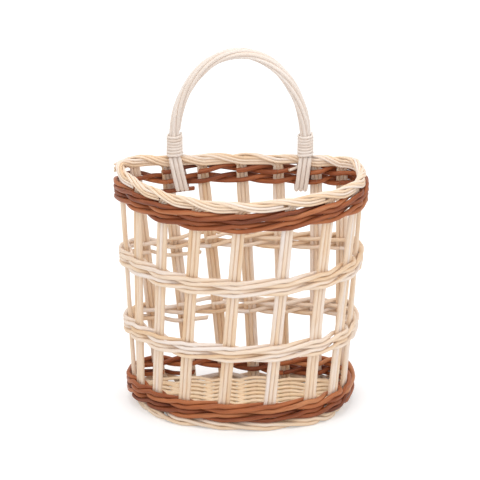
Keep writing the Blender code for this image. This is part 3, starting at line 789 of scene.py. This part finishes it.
handlePlane = (backWall(legX, wall["rimHeight"]) + backWall(-legX, wall["rimHeight"])) / 2
hookReach = strandReach(bands["waleRod"]) + bands["waleRod"] + handle["legRod"]
shoulderReach = border["reach"] + border["rod"] + handle["legRod"] + wall["clear"]


def ropeAngle(slot):    # where a rod lies in the rope of six
    return math.radians(handle["firstAngle"] + handle["rodAngle"] * slot)


def between(value, places, amounts):
    if value <= places[0]:
        return amounts[0]
    for low, high, first, last in zip(places, places[1:], amounts, amounts[1:]):
        if value <= high:
            return first + (last - first) * (value - low) / (high - low)
    return amounts[-1]


def legOffsets(slot, height):
    angle = math.pi - ropeAngle(slot)
    apart = (slot - 1) * handle["legPitch"]
    arched = shoulderReach * (handle["middleShare"] if slot == 1 else handle["sideShare"])
    heights = [rimLevel + waleHalf, shoulderHeight, bindingBase, gatherHeight]
    sideways = [apart, apart, apart * handle["middleShare"], handle["rope"] * math.cos(angle)]
    deep = [hookReach, shoulderReach, arched, handle["rope"] * math.sin(angle)]
    return between(height, heights, sideways), between(height, heights, deep)


def legPoints(side, slot, hookX):
    topX = math.copysign(legX, hookX)
    points = []
    for height in (rimLevel - waleHalf, rimLevel + waleHalf, shoulderHeight, bindingBase, gatherHeight):
        sideways, deep = legOffsets(slot, height)
        part = min(1, (height - hookHeight) / (bindingBase - hookHeight))
        place = hookX + (topX - hookX) * part + sideways
        middle = backWall(place, height) if height < bindingBase else handlePlane
        points.append(Vector((place, middle + side * deep, height)))
    return points


def hookPoints(slot, hookX):
    place = hookX + (slot - 1) * handle["legPitch"]
    height = rimLevel - waleHalf
    points = []
    for step in range(1, handle["hookSteps"]):
        angle = math.pi * step / handle["hookSteps"]
        depth = backWall(place, height) + hookReach * math.cos(angle)
        points.append(Vector((place, depth, height - (height - hookHeight) * math.sin(angle))))
    return points


def archPoint(share, angle):
    around = math.pi * (1 - share)
    centre = Vector((legX * math.cos(around), handlePlane, archStart + archRise * math.sin(around)))
    outward = Vector((archRise * math.cos(around), 0, legX * math.sin(around))).normalized()
    turned = angle + math.tau * handle["twists"] * share
    return centre + (outward * math.cos(turned) + Vector((0, 1, 0)) * math.sin(turned)) * handle["rope"]


def handlePoints(slot):    # up and down the left leg's hook, over the arch, round the right one, and back
    mirrored = 2 - slot
    leftOut, leftIn = (legPoints(side, slot, handle["leftHook"]) for side in (1, -1))
    rightOut, rightIn = (legPoints(side, mirrored, handle["rightHook"]) for side in (1, -1))
    start = leftOut[-1].copy()
    start.z = archStart - 2 * handle["rod"]
    steps = handle["archSteps"]
    forward = [archPoint(step / steps, -ropeAngle(slot)) for step in range(steps + 1)]
    backward = [archPoint(1 - step / steps, ropeAngle(slot)) for step in range(steps)]
    backward.append(archPoint(handle["returnEnd"], ropeAngle(slot)))
    return (
        [start] + leftOut[::-1] + hookPoints(slot, handle["leftHook"]) + leftIn + forward
        + rightIn[::-1] + hookPoints(mirrored, handle["rightHook"])[::-1] + rightOut + backward
    )


for slot, letter in enumerate("abc"):
    shape = startMesh()
    line = smoothPath(handlePoints(slot), handle["steps"])
    radii = [handle["legRod"] if spot.z < bindingBase else handle["shownRod"] for spot in line]
    dice = random.Random(handle["seed"] + slot)
    addRod(shape, line, radii, dice, handle["sides"], handle["cut"], handle["cut"])
    finishPiece(f"handleRod{letter.upper()}", shape, "handle", f"handle_rod_{letter}")


def bindingCorner(corner, height):    # of the eight-sided loop that clears the six rods of a leg
    rods = [legOffsets(slot, height) for slot in (0, 1, 2)]
    spare = handle["shownRod"] + binding["halfDepth"] + wall["chord"]
    wide = max(abs(sideways) for sideways, deep in rods) + spare
    deep = max(deep for sideways, deep in rods) + spare
    slanted = max(abs(sideways) + deep for sideways, deep in rods) + spare * math.sqrt(2)
    quarter, odd = divmod(corner % binding["corners"], 2)
    first = (wide, slanted - wide)
    second = (slanted - deep, deep)
    across, back = (second if odd else first) if quarter % 2 == 0 else (first if odd else second)
    return across * (1 if quarter in (0, 3) else -1), back * (1 if quarter < 2 else -1)


for name, side in (("left", -1), ("right", 1)):
    points = []
    for step in range(binding["turns"] * binding["corners"] + 1):
        height = bindingBase + binding["pitch"] * step / binding["corners"]
        across, back = bindingCorner(step, height)
        points.append(Vector((side * legX + across, handlePlane + back, height)))
    points.insert(0, pastEnd(points[0], points[1], binding["tail"]))
    points.append(pastEnd(points[-1], points[-2], binding["tail"]))
    shape = startMesh()
    line = smoothPath(points, binding["steps"])
    dice = random.Random(binding["seed"] + side)
    addRod(shape, line, binding["halfDepth"], dice, binding["sides"], binding["cut"], binding["cut"],
           flatness=binding["halfHeight"] / binding["halfDepth"])
    finishPiece(f"{name}Binding", shape, "handle", f"handle_binding_{name}")
print("handle made")


# Floor, light and camera

stage = {
    "floorSize": 8, "floorShade": (0.85, 0.85, 0.85), "floorRoughness": 0.9, "glow": 0.27,
    "daylight": 0.80, "aim": Vector((0, 0, 0.15)),
}
lamps = {
    "key": {"place": (-0.9, -1.6, 2.2), "size": 1.6, "power": 11.5},
    "fill": {"place": (1.6, -1.2, 1.4), "size": 1.8, "power": 7},
    "top": {"place": (0, 0, 2.4), "size": 1.2, "power": 14},
}
view = {
    "elevation": 23.5, "distance": 2.5, "lens": 208.33, "sensor": 36,
    "target": Vector((0, -0.060, 0.172)) + wall["seat"],
}
white = (1, 1, 1, 1)


def seenDirectly(tree):    # 1 for what the camera sees, also in gloss and through glass
    path = tree.nodes.new("ShaderNodeLightPath")
    total = path.outputs["Is Camera Ray"]
    for name in ("Is Glossy Ray", "Is Transmission Ray"):
        either = tree.nodes.new("ShaderNodeMath")
        either.operation = "MAXIMUM"
        tree.links.new(total, either.inputs[0])
        tree.links.new(path.outputs[name], either.inputs[1])
        total = either.outputs["Value"]
    return total


world = bpy.data.worlds.new("studio")
world.use_nodes = True
bpy.context.scene.world = world
tree = world.node_tree
daylight = tree.nodes["Background"]
daylight.inputs["Color"].default_value = white
daylight.inputs["Strength"].default_value = stage["daylight"]
paper = tree.nodes.new("ShaderNodeBackground")
paper.inputs["Color"].default_value = white
mix = tree.nodes.new("ShaderNodeMixShader")
tree.links.new(seenDirectly(tree), mix.inputs["Fac"])
tree.links.new(daylight.outputs["Background"], mix.inputs[1])
tree.links.new(paper.outputs["Background"], mix.inputs[2])
tree.links.new(mix.outputs["Shader"], tree.nodes["World Output"].inputs["Surface"])

floorShape = bmesh.new()
bmesh.ops.create_grid(floorShape, x_segments=1, y_segments=1, size=stage["floorSize"] / 2)
floorMesh = bpy.data.meshes.new("floor")
floorShape.to_mesh(floorMesh)
floorShape.free()
floor = bpy.data.objects.new("floor", floorMesh)
bpy.context.scene.collection.objects.link(floor)
floorPaper = bpy.data.materials.new("floorPaper")
floorPaper.use_nodes = True
tree = floorPaper.node_tree
floorShader = tree.nodes["Principled BSDF"]
floorShader.inputs["Base Color"].default_value = (*stage["floorShade"], 1)
floorShader.inputs["Roughness"].default_value = stage["floorRoughness"]
floorShader.inputs["Specular IOR Level"].default_value = 0
floorShader.inputs["Emission Color"].default_value = white
glow = tree.nodes.new("ShaderNodeMath")    # lifts the floor to the background's white
glow.operation = "MULTIPLY"
glow.inputs[1].default_value = stage["glow"]
tree.links.new(seenDirectly(tree), glow.inputs[0])
tree.links.new(glow.outputs["Value"], floorShader.inputs["Emission Strength"])
floorMesh.materials.append(floorPaper)
floor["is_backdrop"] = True

for name, lamp in lamps.items():
    light = bpy.data.lights.new(name, "AREA")
    light.shape = "DISK"
    light.size = lamp["size"]
    light.energy = lamp["power"]
    item = bpy.data.objects.new(name, light)
    item.location = lamp["place"]
    aim = stage["aim"] - Vector(lamp["place"])
    item.rotation_euler = aim.to_track_quat("-Z", "Y").to_euler()
    bpy.context.scene.collection.objects.link(item)

lens = bpy.data.cameras.new("camera")
lens.sensor_width = view["sensor"]
lens.lens = view["lens"]
camera = bpy.data.objects.new("camera", lens)
lift = math.radians(view["elevation"])
camera.location = view["target"] + Vector((0, -math.cos(lift), math.sin(lift))) * view["distance"]
camera.rotation_euler = (view["target"] - camera.location).to_track_quat("-Z", "Y").to_euler()
bpy.context.scene.collection.objects.link(camera)
bpy.context.scene.camera = camera
bpy.context.scene.view_settings.view_transform = "Standard"
print("stage made")

low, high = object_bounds()
